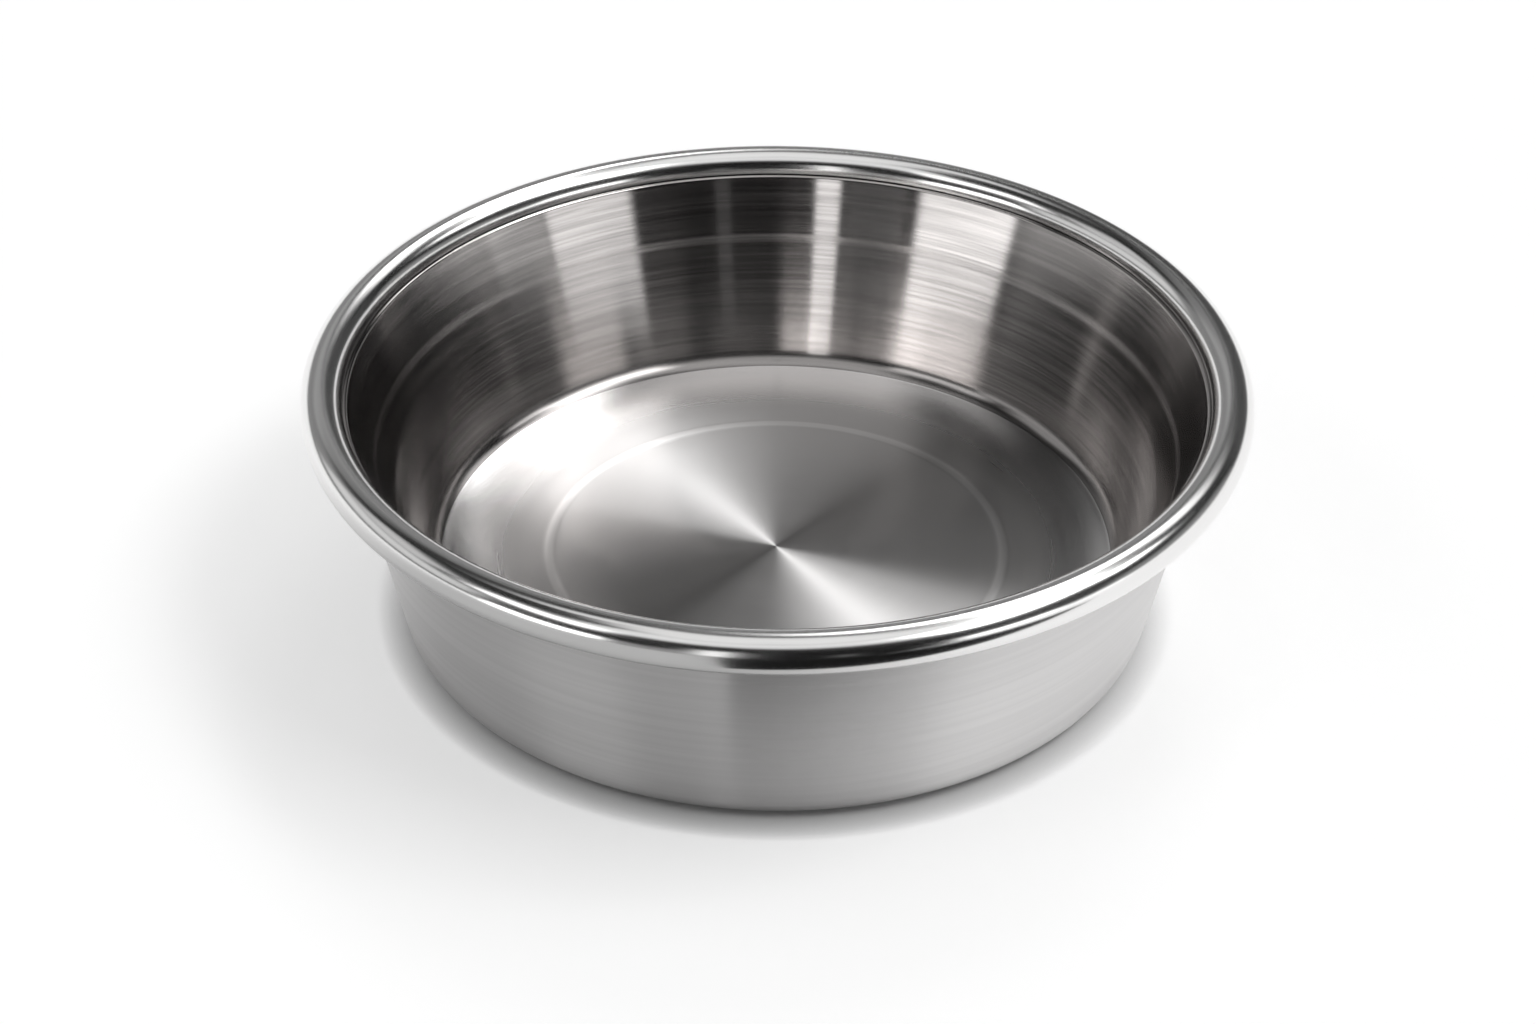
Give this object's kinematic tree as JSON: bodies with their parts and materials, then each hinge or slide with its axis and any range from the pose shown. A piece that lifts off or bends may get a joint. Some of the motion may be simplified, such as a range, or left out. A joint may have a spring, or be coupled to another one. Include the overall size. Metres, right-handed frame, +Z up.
{
  "type": "pet bowl",
  "caption": "Double-wall steel pet bowl with a leaning inner wall, a round rolled rim and a rubber foot ring, to hold food or water on the floor.",
  "frame": {"origin": "centre of the foot ring's underside, on the surface that the bowl stands on", "axes": "+Z up along the bowl's axis, out of its mouth; X and Y are alike"},
  "size_m": [0.24, 0.24, 0.069],
  "materials": {
    "polished_steel": "polished, spun floor with radial glint",
    "satin_steel": "satin, brushed around the bowl",
    "mirror_steel": "mirror polished",
    "black_rubber": "matte rubber"
  },
  "bodies": {
    "root": {"inner_bowl": "polished_steel", "outer_shell": "satin_steel", "rim_ring": "mirror_steel", "foot_ring": "black_rubber"}
  },
  "joints": []
}
